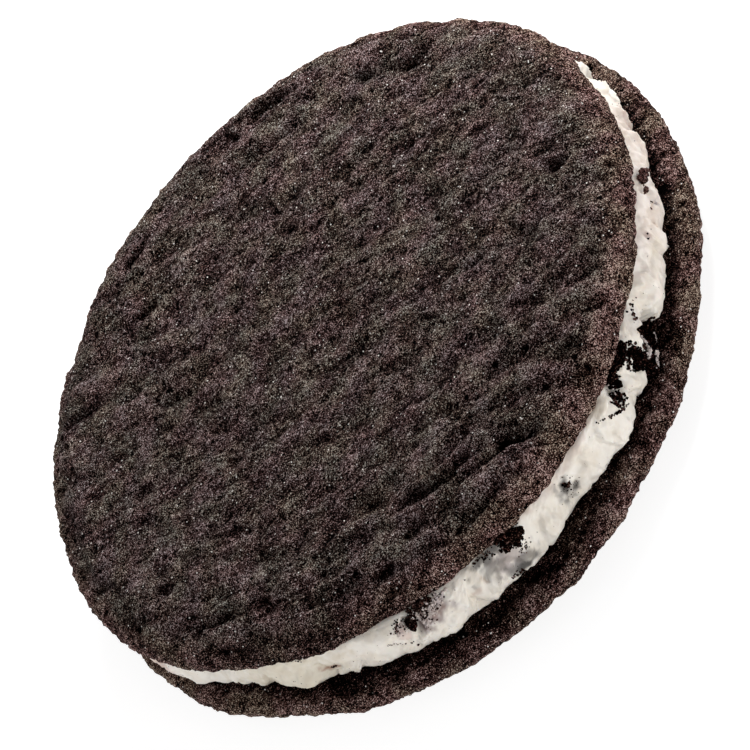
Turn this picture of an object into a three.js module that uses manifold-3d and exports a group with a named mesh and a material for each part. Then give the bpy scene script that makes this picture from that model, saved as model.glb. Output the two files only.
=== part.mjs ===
// Chocolate sandwich cookie: two round soft-baked chocolate cookies with a thick layer of
// cookies-and-cream filling between them. Millimetres, +Z up, resting on the lower cookie, with
// the origin on the surface that it rests on, under the middle of the upper cookie.
import * as THREE from 'three';
import { mergeVertices } from 'three/addons/utils/BufferGeometryUtils.js';
import { ImprovedNoise } from 'three/addons/math/ImprovedNoise.js';
import Module from 'manifold-3d';

// Driving dimensions
const TOP_RADIUS = 45.0;
const BOTTOM_RADIUS = 46.8;
const COOKIE_THICKNESS = 5.5;
const CREAM_THICKNESS = 6.6;
const CREAM_RADIUS = 44.5; // at its widest, low down in the layer
const CREAM_WIDEST = 0.3; // as a share of the cream's thickness
const CREAM_TUCK = { under: 3.4, over: 1.6 }; // how far it draws in where it meets each cookie
const BOTTOM_SHIFT = { x: 0.5, y: -1.15 }; // the lower cookie sits a little out of line
const CREAM_SHIFT = { x: 0.3, y: -0.6 };
const FLAT_UNDERSIDE_RADIUS = 33.0; // the flat spot that the cookie rests on
const UNDERSIDE_RISE = 0.3; // how far its waves stand clear of the surface beyond that spot

// The rim of a baked cookie: a short upright edge, then a rounded shoulder
const EDGE_RISE = 1.3;
const EDGE_TUCK = 0.8;
const SHOULDER_WIDTH = 7.0;

// How finely the solids are faceted
const STEPS_AROUND = 96;
const SHOULDER_STEPS = 6;
const FACE_RING_GAP = 1.85;
const CREAM_STEPS_AROUND = 120;
const CREAM_SIDE_STEPS = 9;

// Out-of-round outlines: each swell lifts the radius by height at azimuth peak, waves times round
const TOP_SWELLS = [
  { waves: 2, height: 0.25, peak: -12 },
  { waves: 3, height: 0.31, peak: 43 },
  { waves: 4, height: 0.28, peak: 3 },
];
const BOTTOM_SWELLS = [
  { waves: 2, height: 0.29, peak: 10 },
  { waves: 3, height: 0.59, peak: 32 },
  { waves: 4, height: 0.16, peak: -21 },
];
const CREAM_SWELLS = [{ waves: 5, height: 0.3, peak: 280 }];

// Places where a rim is worn back (negative) or stands out, as wide as half-width degrees
const TOP_DENTS = [
  { azimuth: 213, reach: -0.9, halfWidth: 9 },
  { azimuth: 240, reach: -1.2, halfWidth: 9 },
  { azimuth: 262, reach: 0.7, halfWidth: 5 },
  { azimuth: 286, reach: 0.5, halfWidth: 6 },
];
const BOTTOM_DENTS = [
  { azimuth: 235, reach: -0.7, halfWidth: 6 },
  { azimuth: 335, reach: -0.6, halfWidth: 7 },
];
const CREAM_DENTS = [
  { azimuth: 301, reach: -3.2, halfWidth: 2.6 },
  { azimuth: 291, reach: -1.8, halfWidth: 2.2 },
  { azimuth: 258, reach: -0.6, halfWidth: 3 },
  { azimuth: 241, reach: -1.0, halfWidth: 3.5 },
];

// The baked face: straight low waves that run across it, rings of waves near the rim, and lumps
const STRAIGHT_WAVES = { length: 5.7, azimuth: -27, height: 0.13, nearHeight: 0.2 };
const RING_WAVES = { length: 5.2, height: 0.16, from: 20, full: 38 };
const NEAR_SIDE = { from: -8, full: -38 }; // along Y
const WAVE_WANDER = { size: 14, turn: 3.2 };
const LUMPS = { size: 8.5, height: 0.5 };

// Wrinkles pressed into the baked face: a valley along each path, with a raised bank on both sides
const WRINKLE_END_SHARE = 0.35;
const WRINKLE_BANK = { share: 0.3, away: 1.9, width: 0.8 };
const WRINKLES = [
  { path: [[-11.5, -31], [-5.5, -34.5], [0.5, -37]], depth: 1.1, halfWidth: 1.2 },
  { path: [[-1.5, -39.3], [3, -40.5], [6, -42.5]], depth: 0.8, halfWidth: 0.9 },
  { path: [[-21, -33.5], [-16, -35.5], [-9.5, -35.5]], depth: 0.8, halfWidth: 1.5 },
  { path: [[-38.5, -14], [-34.5, -19], [-29.5, -24]], depth: 0.7, halfWidth: 1.4 },
  { path: [[-29, -26], [-25, -30], [-21, -33.5]], depth: 0.6, halfWidth: 1.3 },
  { path: [[-17, -25.5], [-10, -28.5]], depth: 0.45, halfWidth: 2.2 },
  { path: [[13, -38.5], [17.5, -38]], depth: 0.7, halfWidth: 1.5 },
  { path: [[-10, -9], [-4, -9]], depth: 0.4, halfWidth: 2.0 },
  { path: [[-36, 2], [-38.5, -6]], depth: 0.5, halfWidth: 1.2 },
  { path: [[-29, 28.5], [-25.5, 26.5]], depth: 0.5, halfWidth: 1.0 },
  { path: [[-17, 29.5], [-10, 29.8], [-6, 31]], depth: 0.6, halfWidth: 1.2 },
  { path: [[-12, 37.5], [-5, 37.5]], depth: 0.6, halfWidth: 1.0 },
  { path: [[4, 34], [12, 31.5], [17, 27.5]], depth: 0.5, halfWidth: 1.2 },
  { path: [[11, 36.5], [17, 35.5], [22, 32.5]], depth: 0.9, halfWidth: 1.6 },
  { path: [[21, 28.5], [28, 24], [34, 17]], depth: 0.7, halfWidth: 1.4 },
];

// The crumbling rim of a cookie, and the lumps of the cream's side
const RIM_CRAGS = { size: 2.6, height: 0.5 };
const CREAM_LUMPS = [
  { size: 4.2, rise: 3.1, height: 0.9 },
  { size: 1.9, rise: 1.0, height: 0.5 },
];

// Pieces of crushed cookie held in the side of the cream: place, half sizes (across, in, up), and
// how far the middle of a piece stands off the cream's radius
const BIT_ROUGHNESS = { size: 0.6, height: 0.45 };
const BIT_CLEARANCE = 0.1; // to the cookies above and below
const COOKIE_BITS = [
  { azimuth: 327.5, height: 10.5, size: [1.6, 1.0, 0.9], proud: -0.6 },
  { azimuth: 302.5, height: 11.0, size: [1.2, 0.9, 0.8], proud: -1.2 },
  { azimuth: 296, height: 8.6, size: [2.6, 2.0, 2.2], proud: -1.6 },
  { azimuth: 289.5, height: 10.2, size: [1.8, 1.6, 1.7], proud: -1.8 },
  { azimuth: 272.7, height: 9.0, size: [0.9, 0.8, 1.6], proud: -0.6 },
  { azimuth: 261.5, height: 10.9, size: [1.8, 1.5, 1.0], proud: -0.6 },
  { azimuth: 258, height: 7.6, size: [1.9, 1.2, 1.3], proud: -0.9 },
  { azimuth: 244, height: 10.8, size: [2.2, 1.4, 1.0], proud: -1.0 },
  { azimuth: 239.5, height: 10.2, size: [1.5, 1.3, 1.4], proud: -1.2 },
  { azimuth: 160, height: 9.2, size: [1.8, 1.4, 1.3], proud: -0.8 },
  { azimuth: 122, height: 8.4, size: [1.4, 1.1, 1.2], proud: -0.6 },
  { azimuth: 70, height: 9.4, size: [2.1, 1.5, 1.4], proud: -0.9 },
  { azimuth: 28, height: 8.6, size: [1.3, 1.1, 1.0], proud: -0.6 },
];

const CREAM_BASE = COOKIE_THICKNESS;
const TOP_BASE = COOKIE_THICKNESS + CREAM_THICKNESS;

const COCOA = new THREE.MeshStandardMaterial({ color: '#3f3431', roughness: 0.9, metalness: 0 });
const CREAM = new THREE.MeshStandardMaterial({ color: '#e2dbd0', roughness: 0.55, metalness: 0 });

const noise = new ImprovedNoise();
const radians = THREE.MathUtils.degToRad;
const { clamp, smoothstep, lerp } = THREE.MathUtils;

// How far an outline stands off its round radius at an azimuth in radians.
function outlineOffset(azimuth, swells, dents) {
  let offset = 0;
  for (const swell of swells) {
    offset += swell.height * Math.cos(swell.waves * (azimuth - radians(swell.peak)));
  }
  for (const dent of dents) {
    const turn = azimuth - radians(dent.azimuth);
    const nearest = Math.atan2(Math.sin(turn), Math.cos(turn));
    offset += dent.reach * Math.exp(-((nearest / radians(dent.halfWidth)) ** 2));
  }
  return offset;
}

// How far along a path of straight runs its nearest place to a point is (0 to 1), and how near.
function nearestOnPath(point, path) {
  const corners = path.map(([x, y]) => new THREE.Vector3(x, y, 0));
  const nearest = { along: 0, away: Infinity };
  for (let run = 0; run < corners.length - 1; run += 1) {
    const line = new THREE.Line3(corners[run], corners[run + 1]);
    const share = line.closestPointToPointParameter(point, true);
    const away = line.at(share, new THREE.Vector3()).distanceTo(point);
    if (away < nearest.away) {
      nearest.along = (run + share) / (corners.length - 1);
      nearest.away = away;
    }
  }
  return nearest;
}

// Height of a wrinkle at a point: a valley with banks, fading towards both ends.
function wrinkleHeight(point, wrinkle) {
  const { along, away } = nearestOnPath(point, wrinkle.path);
  const fade = lerp(WRINKLE_END_SHARE, 1, Math.sin(Math.PI * along));
  const across = away / wrinkle.halfWidth;
  const valley = Math.exp(-(across ** 2));
  const bank = Math.exp(-(((across - WRINKLE_BANK.away) / WRINKLE_BANK.width) ** 2));
  return wrinkle.depth * fade * (WRINKLE_BANK.share * bank - valley);
}

// Height of the baked face above its flat form, with the near side (-Y) more wavy.
function bakedRelief(x, y) {
  const wander = WAVE_WANDER.turn * noise.noise(x / WAVE_WANDER.size, y / WAVE_WANDER.size, 0.7);
  const turn = radians(STRAIGHT_WAVES.azimuth);
  const across = y * Math.cos(turn) - x * Math.sin(turn);
  const near = 1 - smoothstep(y, NEAR_SIDE.full, NEAR_SIDE.from);
  const straightHeight = lerp(STRAIGHT_WAVES.height, STRAIGHT_WAVES.nearHeight, near);
  const straight = straightHeight * Math.sin((2 * Math.PI * across) / STRAIGHT_WAVES.length + wander);
  const reach = Math.hypot(x, y);
  const ringHeight = RING_WAVES.height * smoothstep(reach, RING_WAVES.from, RING_WAVES.full);
  const rings = ringHeight * Math.sin((2 * Math.PI * reach) / RING_WAVES.length + wander);
  let relief = straight + rings + LUMPS.height * noise.noise(x / LUMPS.size, y / LUMPS.size, 8.2);
  const point = new THREE.Vector3(x, y, 0);
  for (const wrinkle of WRINKLES) relief += wrinkleHeight(point, wrinkle);
  return relief;
}

// Turns a profile of [radius, height] points about Z into one closed mesh with merged vertices.
function turned(profile, stepsAround) {
  const points = profile.map(([radius, height]) => new THREE.Vector2(radius, height));
  const lathe = new THREE.LatheGeometry(points, stepsAround);
  lathe.rotateX(Math.PI / 2);
  return closed(lathe);
}

// Keeps only the positions, merges them, and drops the triangles that close up on the axis.
function closed(geometry) {
  geometry.deleteAttribute('normal');
  geometry.deleteAttribute('uv');
  const merged = mergeVertices(geometry, 1e-4);
  const index = merged.index.array;
  const kept = [];
  for (let i = 0; i < index.length; i += 3) {
    const [a, b, c] = index.slice(i, i + 3);
    if (a !== b && b !== c && c !== a) kept.push(a, b, c);
  }
  merged.setIndex(kept);
  return merged;
}

// Moves every vertex by a function of its place that returns the new [x, y, z].
function reshaped(geometry, move) {
  const position = geometry.getAttribute('position');
  for (let i = 0; i < position.count; i += 1) {
    position.setXYZ(i, ...move(position.getX(i), position.getY(i), position.getZ(i)));
  }
  return geometry;
}

// Profile of a baked cookie on its flat base: base, upright edge, rounded shoulder, baked face.
// The baked face is split into rings as far in as faceReach, and the base once, at baseReach.
function cookieProfile(radius, faceReach, baseReach) {
  const profile = [[0, 0], [baseReach, 0], [radius - EDGE_TUCK, 0]];
  profile.push([radius - EDGE_TUCK / 4, EDGE_RISE / 2], [radius, EDGE_RISE]);
  const shoulderHeight = COOKIE_THICKNESS - EDGE_RISE;
  for (let step = 1; step <= SHOULDER_STEPS; step += 1) {
    const turn = (step / SHOULDER_STEPS) * (Math.PI / 2);
    const inward = SHOULDER_WIDTH * (1 - Math.cos(turn));
    profile.push([radius - inward, EDGE_RISE + shoulderHeight * Math.sin(turn)]);
  }
  const faceEdge = radius - SHOULDER_WIDTH;
  const rings = Math.round((faceEdge - faceReach) / FACE_RING_GAP);
  for (let ring = 1; ring <= rings; ring += 1) {
    profile.push([lerp(faceEdge, faceReach, ring / rings), COOKIE_THICKNESS]);
  }
  profile.push([0, COOKIE_THICKNESS]);
  return profile;
}

// Shifts a point outward to the uneven outline, the more the nearer it is to the rim.
function toOutline(x, y, radius, swells, dents) {
  const azimuth = Math.atan2(y, x);
  const share = (Math.hypot(x, y) / radius) ** 4;
  const crag = RIM_CRAGS.height * noise.noise(x / RIM_CRAGS.size, y / RIM_CRAGS.size, radius);
  const offset = share * (outlineOffset(azimuth, swells, dents) + crag);
  return [x + offset * Math.cos(azimuth), y + offset * Math.sin(azimuth)];
}

// The upper cookie lies on its flat base, baked face up.
function topCookie() {
  const profile = cookieProfile(TOP_RADIUS, FACE_RING_GAP, CREAM_RADIUS - CREAM_TUCK.over);
  return reshaped(turned(profile, STEPS_AROUND), (x, y, z) => {
    const [outX, outY] = toOutline(x, y, TOP_RADIUS, TOP_SWELLS, TOP_DENTS);
    const share = z / COOKIE_THICKNESS;
    return [outX, outY, z + share * bakedRelief(outX, outY)];
  });
}

// The lower cookie is turned over: baked face down, with its middle flat where it rests.
function bottomCookie() {
  const profile = cookieProfile(BOTTOM_RADIUS, FLAT_UNDERSIDE_RADIUS, CREAM_RADIUS - CREAM_TUCK.under);
  const geometry = turned(profile, STEPS_AROUND);
  geometry.rotateX(Math.PI);
  geometry.translate(0, 0, COOKIE_THICKNESS);
  return reshaped(geometry, (x, y, z) => {
    const [outX, outY] = toOutline(x, y, BOTTOM_RADIUS, BOTTOM_SWELLS, BOTTOM_DENTS);
    const reach = Math.hypot(x, y);
    const clearOfRest = smoothstep(reach, FLAT_UNDERSIDE_RADIUS, BOTTOM_RADIUS - SHOULDER_WIDTH / 2);
    const share = clearOfRest * (1 - z / COOKIE_THICKNESS);
    const rise = UNDERSIDE_RISE - bakedRelief(-outX, outY);
    return [outX, outY, z + share * Math.max(0, rise)];
  });
}

// Profile of the cream: drawn in at each cookie, widest low down.
function creamProfile() {
  const profile = [[0, 0]];
  for (let step = 0; step <= CREAM_SIDE_STEPS; step += 1) {
    const turn = lerp(-Math.PI / 2, Math.PI / 2, step / CREAM_SIDE_STEPS);
    const upper = turn > 0;
    const span = upper ? 1 - CREAM_WIDEST : CREAM_WIDEST;
    const tuck = upper ? CREAM_TUCK.over : CREAM_TUCK.under;
    const height = CREAM_THICKNESS * (CREAM_WIDEST + span * Math.sin(turn));
    profile.push([CREAM_RADIUS - tuck * (1 - Math.cos(turn)), height]);
  }
  profile.push([0, CREAM_THICKNESS]);
  return profile;
}

// The cream bulges between the cookies, with a lumpy, torn side and flat faces.
function creamLayer() {
  return reshaped(turned(creamProfile(), CREAM_STEPS_AROUND), (x, y, z) => {
    if (x === 0 && y === 0) return [x, y, z];
    const azimuth = Math.atan2(y, x);
    const bulge = Math.sin((Math.PI * z) / CREAM_THICKNESS);
    let lumps = 0;
    for (const { size, rise, height } of CREAM_LUMPS) {
      lumps += height * noise.noise(x / size, y / size, z / rise);
    }
    const swell = outlineOffset(azimuth, CREAM_SWELLS, []);
    const torn = bulge * outlineOffset(azimuth, [], CREAM_DENTS);
    const push = lumps * (0.5 + bulge) + swell + torn;
    return [x + push * Math.cos(azimuth), y + push * Math.sin(azimuth), z];
  });
}

// An uneven chunk of crushed cookie, placed in the side of the cream layer.
function cookieBit(bit, number) {
  const chunk = closed(new THREE.IcosahedronGeometry(1, 1));
  reshaped(chunk, (x, y, z) => {
    const { size, height } = BIT_ROUGHNESS;
    const rough = 1 + height * noise.noise(x / size + number, y / size, z / size);
    const [across, inward, up] = bit.size;
    return [rough * x * inward, rough * y * across, rough * z * up];
  });
  const azimuth = radians(bit.azimuth);
  const reach = CREAM_RADIUS + bit.proud;
  chunk.rotateZ(azimuth);
  chunk.translate(reach * Math.cos(azimuth), reach * Math.sin(azimuth), bit.height - CREAM_BASE);
  const highest = CREAM_THICKNESS - BIT_CLEARANCE;
  return reshaped(chunk, (x, y, z) => [x, y, clamp(z, BIT_CLEARANCE, highest)]);
}

const wasm = await Module();
wasm.setup();

function toManifold(geometry) {
  const vertProperties = new Float32Array(geometry.getAttribute('position').array);
  const triVerts = new Uint32Array(geometry.index.array);
  return new wasm.Manifold(new wasm.Mesh({ numProp: 3, vertProperties, triVerts }));
}

function fromManifold(solid) {
  const mesh = solid.getMesh();
  const geometry = new THREE.BufferGeometry();
  geometry.setAttribute('position', new THREE.BufferAttribute(mesh.vertProperties, 3));
  geometry.setIndex(new THREE.BufferAttribute(mesh.triVerts, 1));
  return geometry;
}

// The cream with its cookie pieces fused on.
function creamFilling() {
  const layer = creamLayer();
  const bits = COOKIE_BITS.map((bit, number) => toManifold(cookieBit(bit, number)));
  return fromManifold(bits.reduce((whole, bit) => whole.add(bit), toManifold(layer)));
}

function placed(name, geometry, material, x, y, z) {
  geometry.computeVertexNormals();
  const mesh = new THREE.Mesh(geometry, material);
  mesh.name = name;
  mesh.position.set(x, y, z);
  return mesh;
}

const cookie = new THREE.Group();
cookie.add(placed('bottom_cookie', bottomCookie(), COCOA.clone(), BOTTOM_SHIFT.x, BOTTOM_SHIFT.y, 0));
cookie.add(placed('cream_filling', creamFilling(), CREAM, CREAM_SHIFT.x, CREAM_SHIFT.y, CREAM_BASE));
cookie.add(placed('top_cookie', topCookie(), COCOA, 0, 0, TOP_BASE));

export default cookie;
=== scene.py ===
"""The looks of a chocolate sandwich cookie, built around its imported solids.

Shapes are worked out in millimetres, as a baker would give them, and become metres when a mesh
is made. +Z is up through the layers, and -Y is the side where most of the cream shows.
"""
import math

import bmesh
import bpy
import numpy as np
from mathutils import Matrix, Vector, noise
from mathutils.bvhtree import BVHTree


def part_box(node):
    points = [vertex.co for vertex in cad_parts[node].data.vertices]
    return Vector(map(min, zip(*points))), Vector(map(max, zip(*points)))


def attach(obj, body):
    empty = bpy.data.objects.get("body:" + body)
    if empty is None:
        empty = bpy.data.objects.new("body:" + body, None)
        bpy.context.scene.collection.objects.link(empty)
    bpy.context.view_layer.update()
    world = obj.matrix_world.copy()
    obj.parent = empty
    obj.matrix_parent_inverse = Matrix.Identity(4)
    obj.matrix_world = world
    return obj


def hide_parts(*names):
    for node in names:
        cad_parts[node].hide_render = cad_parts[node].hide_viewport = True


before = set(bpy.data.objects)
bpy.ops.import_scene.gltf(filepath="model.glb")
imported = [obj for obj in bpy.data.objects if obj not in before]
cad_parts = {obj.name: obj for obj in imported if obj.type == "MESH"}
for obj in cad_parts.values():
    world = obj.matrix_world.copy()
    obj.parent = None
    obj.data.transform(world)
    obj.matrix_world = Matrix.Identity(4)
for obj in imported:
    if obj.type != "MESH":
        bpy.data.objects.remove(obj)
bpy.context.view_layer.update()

# --------table, light and camera
# A plain pale table top, wide enough to fill the picture and faintly lit from within, as a
# photographer's light table is. A soft lamp stands close by on the far right and rakes over the
# baked face, a low one in front lights the cream's side, and a weak one fills the left rim.
MM = 0.001
TABLE_REACH = 1500
TABLE_GREY = (0.40, 0.40, 0.40, 1)
TABLE_GLOW = 0.84
ROOM_LIGHT = 0.28


def new_material(name):
    """A new material, its nodes, and the shader among them."""
    material = bpy.data.materials.new(name)
    material.use_nodes = True
    return material, material.node_tree, material.node_tree.nodes["Principled BSDF"]


def new_piece(name, points, faces, material):
    """A smooth-shaded piece from points in millimetres."""
    mesh = bpy.data.meshes.new(name)
    mesh.from_pydata((points * MM).tolist(), [], faces)
    mesh.shade_smooth()
    mesh.materials.append(material)
    piece = bpy.data.objects.new(name, mesh)
    bpy.context.scene.collection.objects.link(piece)
    return piece


table_paint, tree, shader = new_material("table_paint")
shader.inputs["Base Color"].default_value = TABLE_GREY
shader.inputs["Roughness"].default_value = 0.9
shader.inputs["Specular IOR Level"].default_value = 0.1
shader.inputs["Emission Color"].default_value = (1, 1, 1, 1)
shader.inputs["Emission Strength"].default_value = TABLE_GLOW
corners = TABLE_REACH * np.array([(-1, -1, 0), (1, -1, 0), (1, 1, 0), (-1, 1, 0)])
table = new_piece("table_top", corners, [(0, 1, 2, 3)], table_paint)

room = bpy.data.worlds.new("studio")
room.use_nodes = True
room.node_tree.nodes["Background"].inputs["Color"].default_value = (1, 1, 1, 1)
room.node_tree.nodes["Background"].inputs["Strength"].default_value = ROOM_LIGHT
bpy.context.scene.world = room
bpy.context.scene.view_settings.view_transform = "Standard"


def soft_lamp(name, azimuth, elevation, distance, width, brightness):
    """A square area lamp that faces the cookie. At brightness 1 it alone lights white to white."""
    light = bpy.data.lights.new(name, "AREA")
    light.size = width
    light.energy = brightness * (math.pi * distance) ** 2
    lamp = bpy.data.objects.new(name, light)
    turn, lift = math.radians(azimuth), math.radians(elevation)
    level = Vector((math.cos(turn), math.sin(turn), 0))
    away = math.cos(lift) * level + Vector((0, 0, math.sin(lift)))
    lamp.location = distance * away
    lamp.rotation_euler = away.to_track_quat("Z", "Y").to_euler()
    bpy.context.scene.collection.objects.link(lamp)


soft_lamp("side_lamp", azimuth=36, elevation=40, distance=0.215, width=0.10, brightness=1.20)
soft_lamp("front_lamp", azimuth=280, elevation=13, distance=0.60, width=0.40, brightness=0.46)
soft_lamp("left_lamp", azimuth=155, elevation=8, distance=0.60, width=0.30, brightness=0.32)

# The cookie fills most of a square picture, seen from above its near side, with the camera
# rolled so that the near side is at the lower right.
CAMERA_ELEVATION = math.radians(40.72)
CAMERA_ROLL = math.radians(53.42)
CAMERA_DISTANCE = 0.600
CAMERA_LENS = 232.3
AIM_HEIGHT = 10.0 * MM
AIM_RIGHT = 2.58 * MM
AIM_UP = -2.78 * MM

level_right = Vector((1, 0, 0))
level_up = Vector((0, math.sin(CAMERA_ELEVATION), math.cos(CAMERA_ELEVATION)))
back = Vector((0, -math.cos(CAMERA_ELEVATION), math.sin(CAMERA_ELEVATION)))
right = math.cos(CAMERA_ROLL) * level_right - math.sin(CAMERA_ROLL) * level_up
up = math.sin(CAMERA_ROLL) * level_right + math.cos(CAMERA_ROLL) * level_up
aim = Vector((0, 0, AIM_HEIGHT)) + AIM_RIGHT * right + AIM_UP * up
camera = bpy.data.objects.new("camera", bpy.data.cameras.new("camera"))
camera.data.lens = CAMERA_LENS
camera.data.clip_end = 10
camera.matrix_world = Matrix.Translation(aim + CAMERA_DISTANCE * back) @ Matrix(
    (right, up, back)
).transposed().to_4x4()
bpy.context.scene.collection.objects.link(camera)
bpy.context.scene.camera = camera

# --------lower cookie
# A soft-baked chocolate cookie, turned over: its flat base faces the cream and shows as a ledge
# round it, and its baked face is down. It is dark cocoa crumb, sandy and full of small pits. It
# is a turned body whose rings carry their own spacing, so that what shows is finest.
LOWER_RADIUS = 46.8
COOKIE_THICKNESS = 5.5
LOWER_SHIFT = (0.5, -1.15)
EDGE_RISE = 1.3
EDGE_TUCK = 0.8
SHOULDER_WIDTH = 7.0
SHOULDER_STEPS = 12
HIDDEN_GROWTH = 0.35  # of the rings' spacing, for each millimetre further in under the cream
MIDDLE_REACH = 6.0  # within which one fan of triangles closes a hidden face
REST_RADIUS = 33.0
UNDERSIDE_RISE = 0.3
LOWER_SWELLS = [(2, 0.29, 10), (3, 0.59, 32), (4, 0.16, -21)]  # waves round, height, peak
LOWER_DENTS = [  # azimuth, reach, half width in degrees
    (194, 0.6, 8), (224, 0.6, 7), (240, 0.45, 8), (262, 1.1, 14), (292, 0.6, 9), (323, 0.3, 6),
]


def smoothstep(value, low, high):
    """0 up to a range and 1 beyond it, with a smooth rise between."""
    share = np.clip((value - low) / (high - low), 0, 1)
    return share * share * (3 - 2 * share)


def bell(value, centre, half_width):
    """1 at a centre, fading away to each side of it."""
    return np.exp(-(((value - centre) / half_width) ** 2))


def noise_shift(seed):
    """Where in the endless noise a seed's own pattern starts."""
    return Vector((seed * 7.31, seed * 3.17, seed * 5.73))


def lumps(points, size, seed):
    """Smooth noise from about -1 to 1 with lumps of that size, one value for each point."""
    shift = noise_shift(seed)
    return np.array([noise.noise(Vector(p) / size + shift) for p in points.tolist()])


def cell_distance(points, size, seed):
    """For each point, how far it is from the middle of the nearest cell of that size."""
    shift = noise_shift(seed)
    return np.array([noise.voronoi(Vector(p) / size + shift)[0][0] for p in points.tolist()])


def turn_from(azimuth, centre):
    """The shortest turn in radians to each azimuth from a centre, which is in degrees."""
    turn = azimuth - math.radians(centre)
    return np.arctan2(np.sin(turn), np.cos(turn))


def outline_offset(azimuth, swells, dents):
    """How far an outline stands off its round radius."""
    offset = np.zeros_like(azimuth)
    for waves, height, peak in swells:
        offset += height * np.cos(waves * (azimuth - math.radians(peak)))
    for centre, reach, half_width in dents:
        offset += reach * bell(turn_from(azimuth, centre), 0, math.radians(half_width))
    return offset


def on_plane(x, y, height):
    """Points at one height."""
    return np.column_stack((x, y, np.full(len(x), height)))


def turned_body(profile):
    """Points and triangles of rings about Z, from (radius, height, spacing) round the profile."""
    points = []
    rings = []
    for number, (radius, height, spacing) in enumerate(profile):
        count = 1 if radius == 0 else max(12, round(2 * math.pi * radius / spacing))
        turn = (np.arange(count) + 0.5 * (number % 2)) * (2 * math.pi / count)
        rings.append(range(len(points), len(points) + count))
        points.extend(on_plane(radius * np.cos(turn), radius * np.sin(turn), height))
    triangles = []
    for inner, outer in zip(rings, rings[1:]):
        triangles += stitched(inner, outer)
    return np.array(points), triangles


def stitched(inner, outer):
    """Triangles between two closed rings, which may have different numbers of points."""
    triangles = []
    inner_steps = 0 if len(inner) == 1 else len(inner)
    outer_steps = 0 if len(outer) == 1 else len(outer)
    i = j = 0
    while i < inner_steps or j < outer_steps:
        inner_ahead = inner_steps == 0 or i / inner_steps >= (j + 0.5) / max(outer_steps, 1)
        side = inner[i % len(inner)], outer[j % len(outer)]
        if j < outer_steps and (inner_ahead or i == inner_steps):
            j += 1
            triangles.append((*side, outer[j % len(outer)]))
        else:
            i += 1
            triangles.append((*side, inner[i % len(inner)]))
    return triangles


def walk(profile, corners, spacing):
    """Adds evenly spaced steps along straight runs between (radius, height) corners."""
    for (r0, z0), (r1, z1) in zip(corners, corners[1:]):
        steps = max(1, round(math.hypot(r1 - r0, z1 - z0) / spacing))
        for step in range(1, steps + 1):
            share = step / steps
            profile.append((r0 + share * (r1 - r0), z0 + share * (z1 - z0), spacing))


def cookie_profile(radius, face_spacing, rim_spacing, base_reach):
    """Face, shoulder, edge and base of a cookie, face up. Within base_reach it gets coarser."""
    face_edge = radius - SHOULDER_WIDTH
    shoulder_height = COOKIE_THICKNESS - EDGE_RISE
    shoulder = []
    for step in range(SHOULDER_STEPS + 1):
        turn = (1 - step / SHOULDER_STEPS) * math.pi / 2
        inward = SHOULDER_WIDTH * (1 - math.cos(turn))
        shoulder.append((radius - inward, EDGE_RISE + shoulder_height * math.sin(turn)))
    edge = [(radius, EDGE_RISE), (radius - EDGE_TUCK / 4, EDGE_RISE / 2), (radius - EDGE_TUCK, 0)]
    profile = [(0, COOKIE_THICKNESS, face_spacing)]
    walk(profile, [(0, COOKIE_THICKNESS), (face_edge, COOKIE_THICKNESS)], face_spacing)
    walk(profile, shoulder, (face_spacing + rim_spacing) / 2)
    walk(profile, edge, rim_spacing)
    walk(profile, [(radius - EDGE_TUCK, 0), (base_reach, 0)], rim_spacing)
    reach = base_reach
    while reach > MIDDLE_REACH:
        spacing = rim_spacing + (base_reach - reach) * HIDDEN_GROWTH
        reach -= spacing
        profile.append((reach, 0, spacing))
    profile.append((0, 0, 1))
    return profile


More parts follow.
